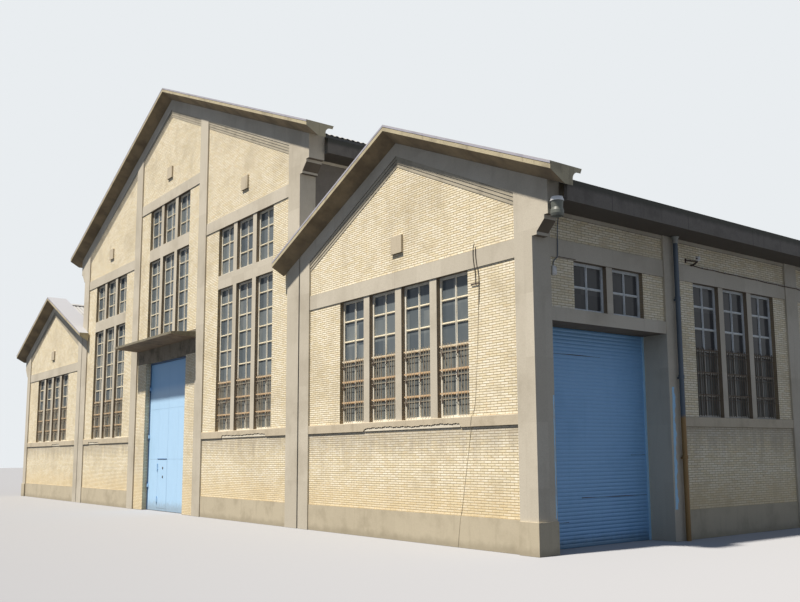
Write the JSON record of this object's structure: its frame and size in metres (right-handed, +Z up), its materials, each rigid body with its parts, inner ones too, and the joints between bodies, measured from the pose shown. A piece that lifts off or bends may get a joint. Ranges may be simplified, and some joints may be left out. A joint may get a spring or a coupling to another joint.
{
  "type": "factory building",
  "caption": "Concrete-framed factory building with a tall gabled nave, a lower gabled wing on each side, brick infill, steel door leaves and a side shutter.",
  "frame": {"origin": "ground level at the bottom centre of the whole building's box", "axes": "+X along the gabled front towards the wing with the roller shutter on its side, -Y out of the gabled front, +Z up"},
  "size_m": [38.82, 24.93, 15.32],
  "materials": {
    "concrete": "matte",
    "plinth_render": "matte",
    "brick": "matte",
    "roof_concrete": "matte",
    "roof_sheet": "matte",
    "door_paint": "satin",
    "shutter_paint": "satin",
    "window_glass": "clear",
    "pipe_paint": "satin",
    "lamp_shell": "satin"
  },
  "bodies": {
    "building": {"front_pilasters": "concrete", "rear_pilasters": "concrete", "side_piers": "concrete", "nave_columns": "concrete", "plinths": "plinth_render", "dado_brickwork": "brick", "sill_bands": "concrete", "window_piers": "brick", "mullions": "concrete", "transom_beams": "concrete", "lintel_bands": "concrete", "gable_brickwork": "brick", "side_top_brickwork": "brick", "corbel_courses": "brick", "vent_blocks": "concrete", "rake_beams_right": "concrete", "rake_beams_left": "concrete", "verge_slabs_right": "roof_concrete", "verge_slabs_left": "roof_concrete", "roof_slabs_right": "roof_concrete", "roof_slabs_left": "roof_concrete", "roof_covering_right": "roof_sheet", "roof_covering_left": "roof_sheet", "ridge_caps": "roof_sheet", "nave_side_walls": "concrete", "eave_beams": "concrete", "gutter_soffits": "roof_concrete", "gutter_fascias": "roof_concrete", "corner_capitals": "concrete", "door_piers": "brick", "door_lintel": "concrete", "door_canopy": "concrete", "door_posts": "door_paint", "door_head": "door_paint", "shutter_band_beam": "concrete", "roller_shutter": "shutter_paint", "shutter_guides": "shutter_paint", "window_glass": "window_glass", "downpipe": "pipe_paint", "wall_lamp": "lamp_shell"},
    "left_leaf": {"left_door_leaf": "door_paint"},
    "right_leaf": {"right_door_leaf": "door_paint"},
    "wicket": {"wicket_door": "door_paint"}
  },
  "joints": [
    {"name": "left_leaf_hinge", "type": "hinge", "parent": "building", "child": "left_leaf", "pos_m": [-1.756, -11.415, 0], "axis": [0, 0, -1], "range_deg": [0, 90]},
    {"name": "right_leaf_hinge", "type": "hinge", "parent": "building", "child": "right_leaf", "pos_m": [1.756, -11.415, 0], "axis": [0, 0, 1], "range_deg": [0, 90]},
    {"name": "wicket_hinge", "type": "hinge", "parent": "left_leaf", "child": "wicket", "pos_m": [-0.89, -11.4, 0], "axis": [0, 0, -1], "range_deg": [0, 90]}
  ]
}
